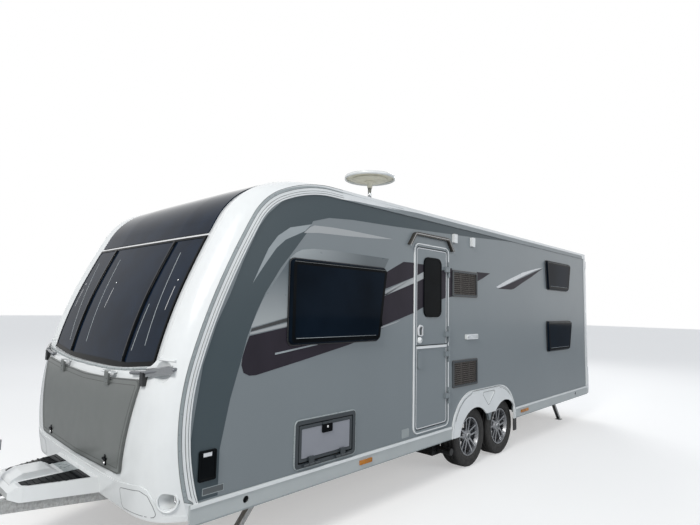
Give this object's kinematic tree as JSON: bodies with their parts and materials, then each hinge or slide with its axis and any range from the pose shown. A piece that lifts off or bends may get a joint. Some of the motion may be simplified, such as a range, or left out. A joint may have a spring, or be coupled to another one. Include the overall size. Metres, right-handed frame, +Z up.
{
  "type": "twin-axle touring caravan",
  "caption": "Twin-axle touring caravan with a curved front, dark front windows, a two-leaf side door and lowered steadies.",
  "frame": {"origin": "on the ground under the middle of the whole vehicle, coupling to rear bumper", "axes": "+X forward towards the coupling, +Y to the left, the door side, +Z up"},
  "size_m": [8.03, 2.328, 2.862],
  "materials": {
    "body_white": "gloss moulded plastic",
    "wall_grey": "satin paint on sheet",
    "roof_white": "satin sheet",
    "lid_grey": "satin paint",
    "dark_glass": "dark tinted acrylic",
    "black_trim": "matt black plastic",
    "grey_trim": "matt dark grey plastic",
    "rail_grey": "satin anodised",
    "tyre_black": "matt rubber",
    "alloy": "painted alloy",
    "galvanised": "galvanised",
    "chrome": "polished",
    "clear_lens": "clear lens",
    "red_lens": "red lens",
    "orange_lens": "orange lens",
    "ply": "laminated board",
    "cream": "weathered plastic",
    "rubber": "solid rubber"
  },
  "bodies": {
    "shell": {"floor": "ply", "wall_left": "wall_grey", "wall_right": "wall_grey", "roof": "roof_white", "rear_panel": "body_white", "rear_bumper": "body_white", "front_panel": "body_white", "front_bumper": "body_white", "front_windows": "dark_glass", "sunroof_panel": "dark_glass", "locker_bulkhead": "ply", "front_lamps": "clear_lens", "rear_lamps": "red_lens", "side_markers": "orange_lens", "awning_lamps": "body_white", "side_fittings": "grey_trim", "wheel_boxes": "black_trim", "side_windows": "dark_glass", "rooflights": "dark_glass", "edge_rails": "body_white", "side_skirts": "rail_grey", "wheel_spats": "body_white", "door_frame": "body_white", "hatch_frame": "grey_trim", "fridge_vents": "grey_trim", "grab_handles": "chrome", "chassis_rails": "galvanised", "cross_members": "galvanised", "drawbars": "galvanised", "coupling_head": "galvanised", "brake_lever": "black_trim", "axles": "galvanised", "steady_brackets": "galvanised", "jockey_tube": "galvanised", "drawbar_cover": "body_white", "mover": "black_trim", "aerial": "cream", "window_frame": "black_trim", "grab_brackets": "black_trim"},
    "door_lower": {"door_lower": "wall_grey", "door_handle": "body_white"},
    "door_upper": {"door_upper": "wall_grey", "door_window": "dark_glass"},
    "locker_hatch": {"locker_hatch": "grey_trim"},
    "front_locker_lid": {"front_locker_lid": "lid_grey"},
    "jockey_slide": {"jockey_slide": "galvanised"},
    "jockey_fork": {"jockey_fork": "galvanised"},
    "jockey_wheel": {"jockey_wheel": "rubber"},
    "wheel_front_left": {"tyre_front_left": "tyre_black", "rim_front_left": "alloy"},
    "steady_front_left": {"steady_front_left": "galvanised"},
    "wheel_front_right": {"tyre_front_right": "tyre_black", "rim_front_right": "alloy"},
    "steady_front_right": {"steady_front_right": "galvanised"},
    "wheel_rear_left": {"tyre_rear_left": "tyre_black", "rim_rear_left": "alloy"},
    "steady_rear_left": {"steady_rear_left": "galvanised"},
    "wheel_rear_right": {"tyre_rear_right": "tyre_black", "rim_rear_right": "alloy"},
    "steady_rear_right": {"steady_rear_right": "galvanised"}
  },
  "joints": [
    {"name": "wheel_front_left_spin", "type": "hinge", "parent": "shell", "child": "wheel_front_left", "pos_m": [-0.448, 0.9875, 0.308], "axis": [0, 1, 0], "continuous": true},
    {"name": "wheel_front_right_spin", "type": "hinge", "parent": "shell", "child": "wheel_front_right", "pos_m": [-0.448, -0.9875, 0.308], "axis": [0, 1, 0], "continuous": true},
    {"name": "wheel_rear_left_spin", "type": "hinge", "parent": "shell", "child": "wheel_rear_left", "pos_m": [-1.116, 0.9875, 0.308], "axis": [0, 1, 0], "continuous": true},
    {"name": "wheel_rear_right_spin", "type": "hinge", "parent": "shell", "child": "wheel_rear_right", "pos_m": [-1.116, -0.9875, 0.308], "axis": [0, 1, 0], "continuous": true},
    {"name": "door_lower_hinge", "type": "hinge", "parent": "shell", "child": "door_lower", "pos_m": [0.088, 1.152, 1.25], "axis": [0, 0, 1], "range_deg": [0, 165]},
    {"name": "door_upper_hinge", "type": "hinge", "parent": "shell", "child": "door_upper", "pos_m": [0.088, 1.152, 1.25], "axis": [0, 0, 1], "range_deg": [0, 165]},
    {"name": "locker_hatch_hinge", "type": "hinge", "parent": "shell", "child": "locker_hatch", "pos_m": [1.7095, 1.15, 0.532], "axis": [-1, 0, 0], "range_deg": [0, 150]},
    {"name": "front_lid_hinge", "type": "hinge", "parent": "shell", "child": "front_locker_lid", "pos_m": [3, 0, 1.18], "axis": [0, -1, 0], "range_deg": [0, 75]},
    {"name": "steady_front_left_fold", "type": "hinge", "parent": "shell", "child": "steady_front_left", "pos_m": [2.045, 0.86, 0.392], "axis": [0, -1, 0], "range_deg": [0, 46]},
    {"name": "steady_front_right_fold", "type": "hinge", "parent": "shell", "child": "steady_front_right", "pos_m": [2.045, -0.86, 0.392], "axis": [0, -1, 0], "range_deg": [0, 46]},
    {"name": "steady_rear_left_fold", "type": "hinge", "parent": "shell", "child": "steady_rear_left", "pos_m": [-3.155, 0.86, 0.392], "axis": [0, 1, 0], "range_deg": [0, 46]},
    {"name": "steady_rear_right_fold", "type": "hinge", "parent": "shell", "child": "steady_rear_right", "pos_m": [-3.155, -0.86, 0.392], "axis": [0, 1, 0], "range_deg": [0, 46]},
    {"name": "jockey_raise", "type": "slide", "parent": "shell", "child": "jockey_slide", "axis": [0, 0, 1], "range_m": [0, 0.12]},
    {"name": "jockey_swivel", "type": "hinge", "parent": "jockey_slide", "child": "jockey_fork", "pos_m": [3.545, 0, 0.226], "axis": [0, 0, 1], "continuous": true},
    {"name": "jockey_spin", "type": "hinge", "parent": "jockey_fork", "child": "jockey_wheel", "pos_m": [3.503, 0, 0.1], "axis": [0, 1, 0], "continuous": true}
  ]
}
